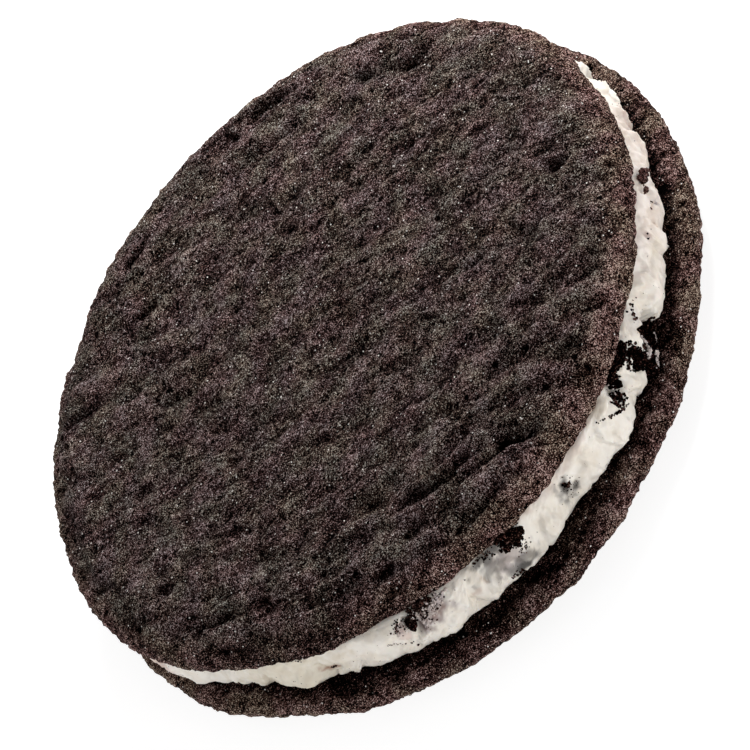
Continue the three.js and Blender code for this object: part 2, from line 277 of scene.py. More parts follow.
# The baked face's own forms: waves across it, rings of waves near the rim, lumps and wrinkles
WAVE_LENGTH, WAVE_AZIMUTH, WAVE_HEIGHT, WAVE_HEIGHT_NEAR = 5.7, -27, 0.06, 0.38
NEAR_WAVES_FULL, NEAR_WAVES_END = -38, -8  # in Y
RING_LENGTH, RING_HEIGHT, RING_FROM, RING_FULL = 5.2, 0.12, 20, 38
WANDER_SIZE, WANDER_TURN = 12, 3.8
LUMP_SIZE, LUMP_HEIGHT = 8.5, 0.5
NOISE_PLANE = 0.7  # the height at which the face's noise is read
STEEP_FACING = math.radians(36)  # the side on which a wrinkle rises steeply
STEEPNESS = 0.35
BANK_SHARE, BANK_AWAY, BANK_WIDTH = 0.35, 1.9, 0.8
VALLEY_POWER = 1.6
WRINKLE_ENDS = 0.35  # of its depth
WRINKLES = [  # path, depth, half width
    ([(-13, -31.3), (-9, -33), (-4.5, -35.8), (0, -37)], 1.1, 1.1),
    ([(-3, -40), (0.5, -39.6), (4, -40.4), (6.5, -41.8)], 0.5, 0.9),
    ([(-0.5, -41.8), (2.5, -42.8), (4.5, -43.4)], 0.5, 0.5),
    ([(-8.7, -40.2), (-7, -41.6), (-1.5, -42.4)], 0.6, 0.55),
    ([(-39.3, -17.5), (-37.8, -21.5), (-35.5, -25.5), (-32, -30.3), (-28, -34)], 0.9, 0.8),
    ([(-27, -35), (-24, -36.6), (-20, -38.2), (-16.8, -39.2)], 0.9, 0.7),
    ([(-18.5, -41), (-15.5, -41.9), (-12.5, -42.6)], 0.5, 0.5),
    ([(-39, -13.8), (-36, -17), (-33.5, -19)], 0.8, 1),
    ([(-31.2, -21.8), (-30.3, -24)], 0.6, 0.9),
    ([(-27.5, -29.5), (-24.5, -31.5), (-21.5, -33.3)], 0.7, 0.9),
    ([(-19.5, -35.5), (-17, -36.5)], 0.6, 1.1),
    ([(-15, -35.6), (-11, -36)], 0.5, 1.2),
    ([(-14.3, -26), (-12, -28.8)], 0.6, 1.3),
    ([(13, -38.5), (17, -39)], 0.8, 0.9),
    ([(31.5, -16.5), (33.5, -18.5)], 0.9, 0.7),
    ([(23, -17.3), (23.3, -19.5), (24.6, -21.5)], 0.45, 1.1),
    ([(15.3, -15.8), (19, -17.6)], 0.4, 0.6),
    ([(26, -27.4), (30.3, -26.9)], 0.5, 0.7),
    ([(35.3, -24.3), (38, -23.2)], 0.6, 0.6),
    ([(21, -32.8), (25, -33.4)], 0.5, 0.8),
    ([(36, -4.8), (39.5, -2.8)], 0.4, 1),
    ([(-9, -8.8), (-5, -9.3), (-4, -11)], 0.5, 1.2),
    ([(-12.5, -4.8), (-10, -6.6)], 0.4, 1),
    ([(-38, -5.5), (-36.5, -8)], 0.5, 0.7),
    ([(-29.8, -6), (-27.3, -9.8)], 0.35, 1.2),
    ([(-43.5, 8.5), (-42.3, 5), (-41, 2)], 0.6, 1),
    ([(-29.8, 28.2), (-27, 27), (-25, 25.9)], 0.7, 0.6),
    ([(-31, 23.4), (-29, 23.9)], 0.4, 0.7),
    ([(-13.7, 29.9), (-11.5, 29.2), (-9, 28.6)], 0.6, 0.8),
    ([(-9, 37.5), (-5, 37.6)], 0.8, 0.6),
    ([(-20.5, 22.3), (-20, 20)], 0.4, 1.2),
    ([(-20, 16), (-18.3, 13.8), (-16, 11.8)], 0.5, 1.1),
    ([(-30.3, 8.2), (-28.3, 7)], 0.4, 0.9),
    ([(11.5, 37.3), (13.5, 35.6)], 0.8, 1.1),
    ([(15, 35.8), (18.5, 35.3), (22.5, 32.3)], 0.9, 1.3),
    ([(28, 24), (30, 21.3)], 0.8, 1.2),
    ([(31.5, 18.5), (33.8, 16), (37.8, 15.4)], 0.7, 1.3),
    ([(5, 32.5), (12, 31), (16.5, 28), (20.5, 26)], 0.4, 1),
    ([(21, 29.3), (24, 27.3)], 0.5, 1),
]


def beside_path(x, y, path):
    """Each point's distance from a path, share of the way along, and facing to its steep side."""
    nearest = np.full(len(x), np.inf)
    along = np.zeros(len(x))
    facing = np.zeros(len(x))
    runs = len(path) - 1
    for run, ((x0, y0), (x1, y1)) in enumerate(zip(path, path[1:])):
        length_squared = (x1 - x0) ** 2 + (y1 - y0) ** 2
        share = ((x - x0) * (x1 - x0) + (y - y0) * (y1 - y0)) / length_squared
        share = np.clip(share, 0, 1)
        away_x = x - x0 - share * (x1 - x0)
        away_y = y - y0 - share * (y1 - y0)
        away = np.hypot(away_x, away_y) + 0.001
        towards = (away_x * math.cos(STEEP_FACING) + away_y * math.sin(STEEP_FACING)) / away
        facing = np.where(away < nearest, towards, facing)
        along = np.where(away < nearest, (run + share) / runs, along)
        nearest = np.minimum(nearest, away)
    return nearest, along, facing


def faded(along, ends):
    """1 at the middle of a path, falling to a smaller share at its ends."""
    return ends + (1 - ends) * np.sin(math.pi * along)


def wrinkle_height(x, y, path, depth, half_width):
    """A valley along a path, steep on one side, with banks, fading towards its ends."""
    nearest, along, facing = beside_path(x, y, path)
    across = nearest / (half_width * (1 - STEEPNESS * facing))
    bank = BANK_SHARE * bell(across, BANK_AWAY, BANK_WIDTH)
    return depth * faded(along, WRINKLE_ENDS) * (bank - np.exp(-(across**VALLEY_POWER)))


def lopsided_wave(turn):
    """A wave that rises steeply and falls gently."""
    return np.sin(turn) + STEEPNESS * np.sin(2 * turn)


def baked_relief(x, y):
    """Height of the baked face above its flat form."""
    flat = on_plane(x, y, NOISE_PLANE)
    wander = WANDER_TURN * lumps(flat, WANDER_SIZE, seed=1)
    turn = math.radians(WAVE_AZIMUTH)
    across = y * math.cos(turn) - x * math.sin(turn)
    near = 1 - smoothstep(y, NEAR_WAVES_FULL, NEAR_WAVES_END)
    straight_height = WAVE_HEIGHT + near * (WAVE_HEIGHT_NEAR - WAVE_HEIGHT)
    relief = straight_height * lopsided_wave(2 * math.pi * across / WAVE_LENGTH + wander)
    reach = np.hypot(x, y)
    ring_height = RING_HEIGHT * smoothstep(reach, RING_FROM, RING_FULL)
    relief += ring_height * lopsided_wave(-2 * math.pi * reach / RING_LENGTH + wander)
    relief += LUMP_HEIGHT * lumps(flat, LUMP_SIZE, seed=2)
    for path, depth, half_width in WRINKLES:
        relief += wrinkle_height(x, y, path, depth, half_width)
    return relief


# The crumb itself: rounded clods with creases between them, drawn out in streaks, and pits
STREAK_AZIMUTH = -28
CLODS = [  # size, height, stretch along the streaks
    (3.2, 0.12, 1),
    (1.5, 0.30, 1.5),
    (0.75, 0.33, 1.5),
    (0.42, 0.22, 1),
]
CREASE_LEVEL = 0.22  # about the mean of folded noise
STREAKS = [(1.9, 0.20, 2.4), (0.9, 0.24, 2.4)]
PIT_SIZE, PIT_DEPTH, PIT_SHARE = 1.9, 0.8, 0.28
PIT_PATCHES = 2.2 * PIT_SIZE  # the size of the patches that have pits
PITS_NONE, PITS_ALL = 0.05, 0.3  # in the noise of those patches


def crumb(points, seed):
    """Height of the crumb at each point, about zero on the whole."""
    turn = math.radians(STREAK_AZIMUTH)
    x, y, z = points.T
    along = x * math.cos(turn) + y * math.sin(turn)
    across = y * math.cos(turn) - x * math.sin(turn)
    height = np.zeros(len(points))
    for number, (size, rise, stretch) in enumerate(CLODS):
        stretched = np.column_stack((along / stretch, across, z))
        height += rise * (np.abs(lumps(stretched, size, seed + number)) - CREASE_LEVEL)
    for number, (size, rise, stretch) in enumerate(STREAKS):
        stretched = np.column_stack((along / stretch, across, z))
        height += rise * lumps(stretched, size, seed + 10 + number)
    nearest = cell_distance(points, PIT_SIZE, seed + 20)
    chosen = smoothstep(lumps(points, PIT_PATCHES, seed + 21), PITS_NONE, PITS_ALL)
    height -= PIT_DEPTH * chosen * (1 - smoothstep(nearest, 0, PIT_SHARE))
    return height


def places_of(mesh):
    """The mesh's points, in metres."""
    places = np.empty(len(mesh.vertices) * 3, np.float32)
    mesh.vertices.foreach_get("co", places)
    return places.reshape(-1, 3)


def put_places(mesh, places):
    """Moves the mesh's points to places in metres."""
    mesh.vertices.foreach_set("co", places.astype(np.float32).ravel())
    mesh.update()


def push_out(piece, distance):
    """Moves each point of a piece along its normal by a distance in millimetres."""
    mesh = piece.data
    normals = np.empty(len(mesh.vertices) * 3, np.float32)
    mesh.vertex_normals.foreach_get("vector", normals)
    put_places(mesh, places_of(mesh) + normals.reshape(-1, 3) * (distance * MM)[:, None])


def mark(piece, name, values):
    """Keeps one number for each point, for the material to read."""
    kept = piece.data.attributes.new(name, "FLOAT", "POINT")
    kept.data.foreach_set("value", values.astype(np.float32))


# The crumb's tone follows its height: painted shade in its hollows, painted light on its crests.
CREASE_GAIN, CREST_GAIN = 1.5, 0.8  # how strongly the tone follows what is low and what is high
SHADE_DARKENING = 3.5  # how far painted shade lowers the tone, in spreads of the crumb's height


def mark_crumb(piece, height, rim_share, shade_share):
    """Keeps the crumb's height for its material, in its own spreads, darker in painted shade."""
    spreads = (height - height.mean()) / height.std()
    spreads *= np.where(spreads < 0, CREASE_GAIN, CREST_GAIN)
    mark(piece, "crumb_height", spreads - SHADE_DARKENING * shade_share)
    mark(piece, "rim_share", rim_share)


def add_node(tree, kind, inputs=None, **settings):
    """A shader node with its settings, and its inputs set to values or joined to outputs."""
    made = tree.nodes.new("ShaderNode" + kind)
    for key, value in settings.items():
        setattr(made, key, value)
    for socket, value in (inputs or {}).items():
        if isinstance(value, bpy.types.NodeSocket):
            tree.links.new(value, made.inputs[socket])
        else:
            made.inputs[socket].default_value = value
    return made


def mixed(tree, share, first, second, blend_type="MIX"):
    """Two colours mixed by a share, in the Mix node's sockets for colours."""
    inputs = {0: share, 6: first, 7: second}
    return add_node(tree, "Mix", inputs, data_type="RGBA", blend_type=blend_type).outputs[2]


def reckoned(tree, operation, *values):
    """The result of one sum."""
    return add_node(tree, "Math", dict(enumerate(values)), operation=operation).outputs[0]


def ramped(tree, value, low, high, out_low=0, out_high=1):
    """A value spread from one range to another, and kept within it."""
    settings = {"From Min": low, "From Max": high, "To Min": out_low, "To Max": out_high}
    return add_node(tree, "MapRange", {"Value": value, **settings}).outputs["Result"]


def fine_noise(tree, size, detail):
    """Noise whose lumps are about that many millimetres across."""
    place = add_node(tree, "TexCoord").outputs["Object"]
    settings = {"Vector": place, "Scale": 1 / (size * MM), "Detail": detail}
    return add_node(tree, "TexNoise", settings).outputs["Fac"]


def creased_noise(tree, size):
    """Rounded lumps with sharp creases between them: 0.5 in a crease and less on a lump."""
    return reckoned(tree, "PINGPONG", fine_noise(tree, size, 1), 0.5)


def weighed(tree, total, weighted):
    """A total, with each value added to it times its weight."""
    for weight, value in weighted:
        total = reckoned(tree, "MULTIPLY_ADD", value, weight, total)
    return total


def grain_cells(tree, size):
    """Cells of that many millimetres: each one's random number, and the way to its middle."""
    place = add_node(tree, "TexCoord").outputs["Object"]
    cell = add_node(tree, "TexVoronoi", {"Vector": place, "Scale": 1 / (size * MM)})
    own_number = add_node(tree, "SeparateColor", {"Color": cell.outputs["Color"]}).outputs[0]
    return own_number, cell.outputs["Distance"]


SPOT_CORE = 0.55  # of a spot's radius, inside which it is at its full strength


def spots(tree, spacing, share, radius):
    """Round spots with soft edges, in that share of the cells of a spacing."""
    own_number, distance = grain_cells(tree, spacing)
    chosen = ramped(tree, own_number, 1 - share, 1.02 - share)
    spot = ramped(tree, distance, SPOT_CORE * radius / spacing, radius / spacing, 1, 0)
    return reckoned(tree, "MULTIPLY", chosen, spot)


def bumped(tree, height, relief, strength=1, over=None, inward=False):
    """A normal bent by a height of that relief in millimetres, over another such normal."""
    inputs = {"Height": height, "Distance": relief * MM, "Strength": strength}
    if over is not None:
        inputs["Normal"] = over
    return add_node(tree, "Bump", inputs, invert=inward).outputs[0]


# The crumb's scales in millimetres, and the spacing, share and radius of its spots
SAND_SIZE, GRAIN_SIZE, CLOD_SIZE = 0.14, 0.24, 0.75
WARM_SIZE, TINGE_SIZE, PATCH_SIZE = 3.1, 3.6, 4.5
PORES = (0.62, 0.40, 0.16)
WIDE_PORES = (1.9, 0.45, 0.42)
PALE_GRAINS = (0.7, 0.10, 0.13)
# Sugar grains, partly their own pale colour and partly painted glints
SUGAR_GRAINS_AND_GLINTS = (0.8, 0.30, 0.12)
SAND_RELIEF, GRAIN_RELIEF, CLOD_RELIEF = 0.12, 0.10, 0.45
# What each adds to the crumb's tone, on which 0.5 is the usual dark brown
TONE_START = -0.76
HEIGHT_WEIGHT = 0.10
RIM_WEIGHT = 0.06
GRAIN_WEIGHT = 0.38
SAND_WEIGHT = 2.50
CREASE_WEIGHT = -1.35
PATCH_WEIGHT = 0.42
PORE_WEIGHT = -0.80
WIDE_PORE_WEIGHT = -0.40
PALE_GRAIN_WEIGHT = 1.0
DARKEST_TONE = 0.02
TONE_POWER = 2.2
# Dark grains are browner and pale ones nearly grey, in patches tinged with olive or rose
BLACK = (0, 0, 0, 1)
DARK_HUE = (1, 0.36, 0.28, 1)
PALE_HUE = (1, 0.95, 0.93, 1)
OLIVE_TINGE = (0.97, 1.01, 0.89, 1)
ROSE_TINGE = (1.07, 0.95, 0.98, 1)
SUGAR_AND_GLINT = (0.85, 0.81, 0.78, 1)
WARMEST = 0.4  # of the rim's brown, in patches on the face


def cocoa_crumb(name, crest, rim_crest):
    """Dry, sandy dark cocoa crumb, paler and browner at its rim, with pores and sugar grains."""
    material, tree, shader = new_material(name)
    height = add_node(tree, "Attribute", attribute_name="crumb_height").outputs["Fac"]
    rim_share = add_node(tree, "Attribute", attribute_name="rim_share").outputs["Fac"]
    grain_tone, grain_distance = grain_cells(tree, GRAIN_SIZE)
    sand = fine_noise(tree, SAND_SIZE, 0)
    clods = creased_noise(tree, CLOD_SIZE)
    # Painted shade: the tone falls in the crumb's low places, in the creases between clods and in
    # the dark pores.
    tones = [
        (HEIGHT_WEIGHT, height),
        (RIM_WEIGHT, rim_share),
        (GRAIN_WEIGHT, grain_tone),
        (SAND_WEIGHT, sand),
        (CREASE_WEIGHT, clods),
        (PATCH_WEIGHT, fine_noise(tree, PATCH_SIZE, 2)),
        (PORE_WEIGHT, spots(tree, *PORES)),
        (WIDE_PORE_WEIGHT, spots(tree, *WIDE_PORES)),
        (PALE_GRAIN_WEIGHT, spots(tree, *PALE_GRAINS)),
    ]
    tone = weighed(tree, TONE_START, tones)
    kept = add_node(tree, "Clamp", {"Value": tone, "Min": DARKEST_TONE, "Max": 1.0}).outputs[0]
    colour = mixed(tree, rim_share, crest, rim_crest)
    warm = ramped(tree, fine_noise(tree, WARM_SIZE, 2), 0.35, 0.7, 0, WARMEST)
    colour = mixed(tree, warm, colour, rim_crest)
    hue = mixed(tree, kept, DARK_HUE, PALE_HUE)
    colour = mixed(tree, 1, colour, hue, "MULTIPLY")
    tinge = ramped(tree, fine_noise(tree, TINGE_SIZE, 0.5), 0.35, 0.65)
    colour = mixed(tree, 1, colour, mixed(tree, tinge, OLIVE_TINGE, ROSE_TINGE), "MULTIPLY")
    colour = mixed(tree, reckoned(tree, "POWER", kept, TONE_POWER), BLACK, colour)
    # Pale sugar grains, which also carry painted glints
    colour = mixed(tree, spots(tree, *SUGAR_GRAINS_AND_GLINTS), colour, SUGAR_AND_GLINT)
    tree.links.new(colour, shader.inputs["Base Color"])
    shader.inputs["Roughness"].default_value = 0.7
    shader.inputs["Specular IOR Level"].default_value = 0.01
    coarse = bumped(tree, clods, CLOD_RELIEF, inward=True)
    rounded = bumped(tree, grain_distance, GRAIN_RELIEF, over=coarse, inward=True)
    fine = bumped(tree, sand, SAND_RELIEF, over=rounded)
    tree.links.new(fine, shader.inputs["Normal"])
    return material


LOWER_CREST, LOWER_RIM_CREST = (0.43, 0.38, 0.36, 1), (0.54, 0.45, 0.41, 1)
LOWER_WEAR = (44.2, 46)  # from no wear to full wear
LOWER_SHADED_SIDE = (-112, 30)  # the azimuth turned from the side lamp, where shade is painted on the edge, and half the spread
LOWER_SHADOW_REACH, SHADOW_FADE = 43.6, 1.6  # how far out shadow is painted on the ledge under the cream's lip
SHADOW_TONGUE = (-59, 3.5)  # the azimuth where it reaches furthest, and half the spread

# First the form, then the crumb
lower_crumb = cocoa_crumb("lower_cocoa_crumb", LOWER_CREST, LOWER_RIM_CREST)
lower_profile = cookie_profile(LOWER_RADIUS, face_spacing=0.42, rim_spacing=0.30, base_reach=40)
points, triangles = turned_body(lower_profile)
x, y, z = points.T
azimuth = np.arctan2(-y, x)
share = (np.hypot(x, y) / LOWER_RADIUS) ** 4
offset = share * outline_offset(azimuth, LOWER_SWELLS, LOWER_DENTS)
turned_x = x + offset * np.cos(azimuth)
turned_y = -y + offset * np.sin(azimuth)
turned_z = COOKIE_THICKNESS - z
clear = smoothstep(np.hypot(x, y), REST_RADIUS, LOWER_RADIUS - SHOULDER_WIDTH / 2)
rise = np.maximum(0, UNDERSIDE_RISE - baked_relief(-turned_x, turned_y))
turned_z = turned_z + clear * (1 - turned_z / COOKIE_THICKNESS) * rise
points = np.column_stack((turned_x + LOWER_SHIFT[0], turned_y + LOWER_SHIFT[1], turned_z))
lower_cookie = new_piece("lower_cookie", points, triangles, lower_crumb)
height = crumb(points, seed=31)
push_out(lower_cookie, height)
places = places_of(lower_cookie.data)
places[:, 2] = np.maximum(places[:, 2], 0)  # nothing reaches below the table top
put_places(lower_cookie.data, places)
reach = np.hypot(x, y)
# Painted shade on the side turned from the side lamp: the worn edge is kept less pale there and
# the crumb darker.
shaded_side = bell(np.degrees(azimuth), *LOWER_SHADED_SIDE)
# Painted shadow on the ledge under the cream's lip, reaching further out on the shaded side and
# into the gap at azimuth -59.
shadow_reach = LOWER_SHADOW_REACH + 1.4 * shaded_side + 3.0 * bell(np.degrees(azimuth), *SHADOW_TONGUE)
uneven_reach = reach + 0.8 * lumps(points, 2.2, seed=33)
on_base = z < 0.5
painted_shadow = (1 - smoothstep(uneven_reach, shadow_reach, shadow_reach + SHADOW_FADE)) * on_base
wear_dimmed_by_shade = 0.7 * smoothstep(reach, *LOWER_WEAR) * (1 - 0.8 * shaded_side)
mark_crumb(lower_cookie, height, wear_dimmed_by_shade, painted_shadow + 0.15 * shaded_side)
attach(lower_cookie, "root")
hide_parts("bottom_cookie")

# --------cream
# A thick layer of cookies-and-cream filling: whipped, slightly moist cream that was pressed out
# between the cookies and torn at the side. It bulges low down into a scalloped lip, with a deep
# undercut above the lower cookie. Crushed cookie has left grey, brown and pink marks in it.
CREAM_RADIUS = 44.5
CREAM_SHIFT = (0.3, -0.6)
CREAM_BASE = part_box("cream_filling")[0].z / MM
CREAM_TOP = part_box("cream_filling")[1].z / MM
CREAM_THICKNESS = CREAM_TOP - CREAM_BASE
CREAM_WIDEST = 0.3  # of its thickness
TUCK_UNDER, TUCK_OVER = 3.4, 1.6
SIDE_STEPS = 40
SIDE_SPACING, EDGE_SPACING, HIDDEN_SPACING = 0.24, 0.6, 3
EDGE_DEPTH = 3  # how far in from the side the middle spacing goes
# What lies on the side is placed where it meets a cylinder of this reach, along this slope
SIDE_REACH, SIGHT_SLOPE = 44.2, math.radians(41)
CREAM_SWELLS = [(5, 0.3, 280)]  # waves round, height, peak
CREAM_BULGES = [  # azimuth, reach, half width in degrees
    (186, 1.3, 7), (206, -1.2, 9), (222, -1.1, 6), (240, 0.4, 6), (247, 1, 6), (260, 0.7, 5),
    (283, 0.9, 5), (317, -0.4, 3), (333, -1.1, 6), (344, -0.5, 4), (357, -0.2, 5),
]
BITES = [  # azimuth, height, half width in degrees, half height, depth
    (301.4, 7.3, 3, 2.6, 3),
    (293.2, 12.4, 2.9, 1.3, 1.6),
    (289.3, 10.8, 1.7, 2.2, 1.7),
    (240, 10.8, 1.6, 2, 1.2),
]
CREAM_SINK = 0.15  # into each cookie, so that no light shows between them
LUMPINESS = [(4.2, 0.55, 41), (1.9, 0.25, 42)]  # size, height, seed
SMOOTHER_SIDE = (-58, -50)  # azimuths over which the lumps get lower
FLAKE_SIZE, FLAKE_HEIGHT, FLAKE_FLATNESS = 2.8, 0.75, 0.6
CHIP_SIZE, CHIP_HEIGHT = 1.2, 0.28
TORN_SIDE = (-125, -108)  # azimuths over which the flakes get higher
LIP_LEVEL, LIP_WIDTH = 0.22, 0.16  # of the cream's thickness

IVORY = (0.85, 0.80, 0.73)
ROSY_IVORY = (0.86, 0.77, 0.71)
SHADED_IVORY = (0.70, 0.60, 0.54)
DULL_IVORY = (0.75, 0.69, 0.58)
GREY = (0.16, 0.15, 0.14)
DARK = (0.06, 0.055, 0.05)
BROWN = (0.20, 0.125, 0.115)
LILAC = (0.44, 0.38, 0.37)
BEIGE = (0.52, 0.46, 0.38)
TAN = (0.42, 0.27, 0.20)
ORANGE = (0.40, 0.20, 0.08)
PINK = (0.62, 0.47, 0.42)
RED = (0.26, 0.10, 0.09)
SMEARS_AND_SHADE = [  # azimuth, then height, half width and half height in mm, colour, strength
    (324, 9, 15, 9, ROSY_IVORY, 0.9),
    # painted shade
    (341, 9, 5, 9, SHADED_IVORY, 0.8),
    # painted shade on the side turned from the side lamp
    (214, 9, 9, 9, DULL_IVORY, 1),
    (313, 9.2, 3.5, 1.2, DULL_IVORY, 0.6),
    # painted shade under the upper cookie's rim
    (275, 12.6, 9, 1.7, SHADED_IVORY, 0.7),
    # a darker pinkish patch at the cream's left end
    (183, 9, 4, 9, PINK, 0.8),
    (343, 8.4, 1.4, 0.9, PINK, 0.7),
    (324, 8.5, 0.8, 0.9, LILAC, 0.7),
    (316.6, 10.6, 0.5, 0.9, RED, 0.4),
    (310.6, 9.6, 2.2, 0.7, LILAC, 0.4),
    (322.8, 9.4, 0.9, 0.5, TAN, 0.5),
    (300.4, 10.9, 2, 1.5, LILAC, 0.4),
    (299.7, 9.7, 0.6, 0.5, ORANGE, 0.8),
    (300.2, 8.3, 1, 0.8, LILAC, 0.7),
    (285.2, 11.4, 2.1, 1.2, BEIGE, 0.7),
    (272.2, 9.2, 1.5, 2.4, GREY, 0.7),
    (272.3, 9.8, 0.8, 1.3, DARK, 0.9),
    (273.2, 8.5, 0.7, 0.5, DARK, 0.8),
    (258.4, 9.6, 2.8, 2.6, LILAC, 0.85),
    (259.5, 7.3, 2.8, 1.5, GREY, 0.75),
    (259.3, 6.7, 1.5, 0.7, DARK, 0.85),
    (255.5, 10.2, 2.6, 1.7, GREY, 0.7),
    (256.4, 12.3, 4.2, 1.2, GREY, 0.9),
    (251.6, 8.8, 0.9, 0.4, TAN, 0.5),
    (253.5, 10, 0.4, 1.4, ORANGE, 0.3),
    (244, 10.8, 3.2, 2.2, LILAC, 0.8),
    (243.6, 11, 2.3, 1.8, BROWN, 0.8),
    (241.6, 9, 1.5, 0.9, BROWN, 0.6),
    (237.8, 11.3, 0.8, 1.2, RED, 0.65),
    (237.9, 9.6, 1, 0.8, PINK, 0.6),
    (221.7, 9.3, 1.9, 0.5, TAN, 0.95),
    (320, 9, 0.9, 0.4, ORANGE, 0.35),
    (208, 7.4, 1.5, 0.5, BEIGE, 0.6),
]


def cream_profile():
    """Flat top, bulging side drawn in at each cookie and widest low down, and flat base."""
    side = []
    for step in range(SIDE_STEPS + 1):
        turn = (0.5 - step / SIDE_STEPS) * math.pi
        upper = turn > 0
        span = 1 - CREAM_WIDEST if upper else CREAM_WIDEST
        tuck = TUCK_OVER if upper else TUCK_UNDER
        height = CREAM_THICKNESS * (CREAM_WIDEST + span * math.sin(turn))
        side.append((CREAM_RADIUS - tuck * (1 - math.cos(turn)), height))
    top_inner = (side[0][0] - EDGE_DEPTH, CREAM_THICKNESS)
    base_inner = (side[-1][0] - EDGE_DEPTH, 0)
    profile = [(0, CREAM_THICKNESS, HIDDEN_SPACING)]
    walk(profile, [(0, CREAM_THICKNESS), top_inner], HIDDEN_SPACING)
    walk(profile, [top_inner, side[0]], EDGE_SPACING)
    walk(profile, side, SIDE_SPACING)
    walk(profile, [side[-1], base_inner], EDGE_SPACING)
    walk(profile, [base_inner, (MIDDLE_REACH, 0)], HIDDEN_SPACING)
    profile.append((0, 0, HIDDEN_SPACING))
    return profile


def torn_flakes(points, size, seed):
    """Flat facets that meet at crisp edges, as where thick cream tears."""
    shift = noise_shift(seed)
    heights = []
    for point in points.tolist():
        place = Vector(point) / size + shift
        middle = noise.voronoi(place)[1][0]
        tilt = noise.cell_vector(middle * 9.7)  # the facet's own
        heights.append((place - middle).dot(tilt * 2 - Vector((1, 1, 1))))
    return np.array(heights)


def sloped_height(height, reach):
    """The height at which a line through a place, along the slope, meets the side's reach."""
    return height + (SIDE_REACH - reach) * math.tan(SIGHT_SLOPE)


def from_patch(azimuth, heights, centre, height, half_turn, half_height):
    """How far each point is from a patch's middle: 1 at the ends of its half sizes."""
    return np.hypot(turn_from(azimuth, centre) / half_turn, (heights - height) / half_height)


CLOUD_SIZE, CLOUD_SHADE = 2.2, (0.88, 0.84, 0.78, 1)
SPECK_SIZE, SPECK_BROWN = 0.34, (0.16, 0.11, 0.08, 1)
RIPPLE_SIZE, RIPPLE_RELIEF, RIPPLE_STRENGTH = 0.7, 0.12, 0.6
GLOW_DEPTH = 0.8


def whipped_cream(name):
    """Moist ivory cream, soft inner glow, fine dark specks, and marks and painted shade kept as
    tint.
    """
    material, tree, shader = new_material(name)
    tint = add_node(tree, "Attribute", attribute_name="tint").outputs["Color"]
    cloud = ramped(tree, fine_noise(tree, CLOUD_SIZE, 3), 0.42, 0.62, 0, 0.6)
    colour = mixed(tree, cloud, tint, CLOUD_SHADE, "MULTIPLY")
    speck = ramped(tree, fine_noise(tree, SPECK_SIZE, 1), 0.74, 0.80, 0, 0.6)
    colour = mixed(tree, speck, colour, SPECK_BROWN)
    tree.links.new(colour, shader.inputs["Base Color"])
    shader.inputs["Roughness"].default_value = 0.5
    shader.inputs["Specular IOR Level"].default_value = 0.4
    shader.inputs["Subsurface Weight"].default_value = 0.12
    shader.inputs["Subsurface Radius"].default_value = (1, 0.75, 0.5)
    shader.inputs["Subsurface Scale"].default_value = GLOW_DEPTH * MM
    ripples = fine_noise(tree, RIPPLE_SIZE, 3)
    rippled = bumped(tree, ripples, RIPPLE_RELIEF, strength=RIPPLE_STRENGTH)
    tree.links.new(rippled, shader.inputs["Normal"])
    return material


def mark_tint(piece, tint):
    """Keeps one colour for each point, for the material to read."""
    kept = piece.data.attributes.new("tint", "FLOAT_COLOR", "POINT")
    colours = np.column_stack((tint, np.ones(len(tint))))
    kept.data.foreach_set("color", colours.astype(np.float32).ravel())


points, triangles = turned_body(cream_profile())
x, y, z = points.T
azimuth = np.arctan2(y, x)
bulge = np.sin(math.pi * np.clip(z / CREAM_THICKNESS, 0, 1))
reach = np.hypot(x, y)
near_side = smoothstep(reach, CREAM_RADIUS - 2 * EDGE_DEPTH, CREAM_RADIUS - EDGE_DEPTH)
push = outline_offset(azimuth, CREAM_SWELLS, CREAM_BULGES)
uneven = (0.4 + bulge) * (1 - 0.5 * smoothstep(np.degrees(azimuth), *SMOOTHER_SIDE))
for size, rise, seed in LUMPINESS:
    push += uneven * rise * lumps(points, size, seed)
torn = (0.25 + bulge) * (0.45 + 0.55 * smoothstep(np.degrees(azimuth), *TORN_SIDE))
flake_places = points * (1, 1, FLAKE_FLATNESS)
push += torn * FLAKE_HEIGHT * torn_flakes(flake_places, FLAKE_SIZE, seed=43)
push += torn * CHIP_HEIGHT * torn_flakes(points, CHIP_SIZE, seed=49)
push += 0.16 * lumps(points, 0.8, seed=44)
ragged = 0.5 * lumps(points, 1.1, seed=46) + 0.35 * lumps(points, 0.5, seed=47)
seen_height = sloped_height(z + CREAM_BASE, reach)
for centre, height, half_width, half_height, depth in BITES:
    half_turn = math.radians(half_width)
    away = from_patch(azimuth, seen_height, centre, height, half_turn, half_height)
    push -= depth * (1 - smoothstep(away + 0.5 * ragged, 0.6, 1.15))
push *= near_side
lip = bell(z / CREAM_THICKNESS, LIP_LEVEL, LIP_WIDTH) * near_side
flat = on_plane(x, y, 0)
droop = lip * (0.45 * lumps(flat, 2.6, seed=45) + 0.22 * lumps(flat, 1.1, seed=48) - 0.1)
on_base, on_top = z < 0.001, z > CREAM_THICKNESS - 0.001
sink = CREAM_SINK * on_top - CREAM_SINK * on_base
points = np.column_stack((
    x + push * np.cos(azimuth) + CREAM_SHIFT[0],
    y + push * np.sin(azimuth) + CREAM_SHIFT[1],
    z + droop + sink + CREAM_BASE,
))
cream_material = whipped_cream("whipped_cream")
cream = new_piece("cream", points, triangles, cream_material)
cream_form = points, triangles

# The marks left by crushed cookie, and painted shade, each a ragged patch
tint = np.tile(IVORY, (len(points), 1))
reach = np.hypot(points[:, 0] - CREAM_SHIFT[0], points[:, 1] - CREAM_SHIFT[1])
seen_height = sloped_height(points[:, 2], reach)
for centre, height, half_width, half_height, colour, strength in SMEARS_AND_SHADE:
    half_turn = half_width / CREAM_RADIUS
    away = from_patch(azimuth, seen_height, centre, height, half_turn, half_height)
    cover = strength * (1 - smoothstep(away + 1.2 * ragged, 0.45, 1.15))
    tint += cover[:, None] * (np.array(colour) - tint)
mark_tint(cream, tint)
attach(cream, "root")
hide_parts("cream_filling")

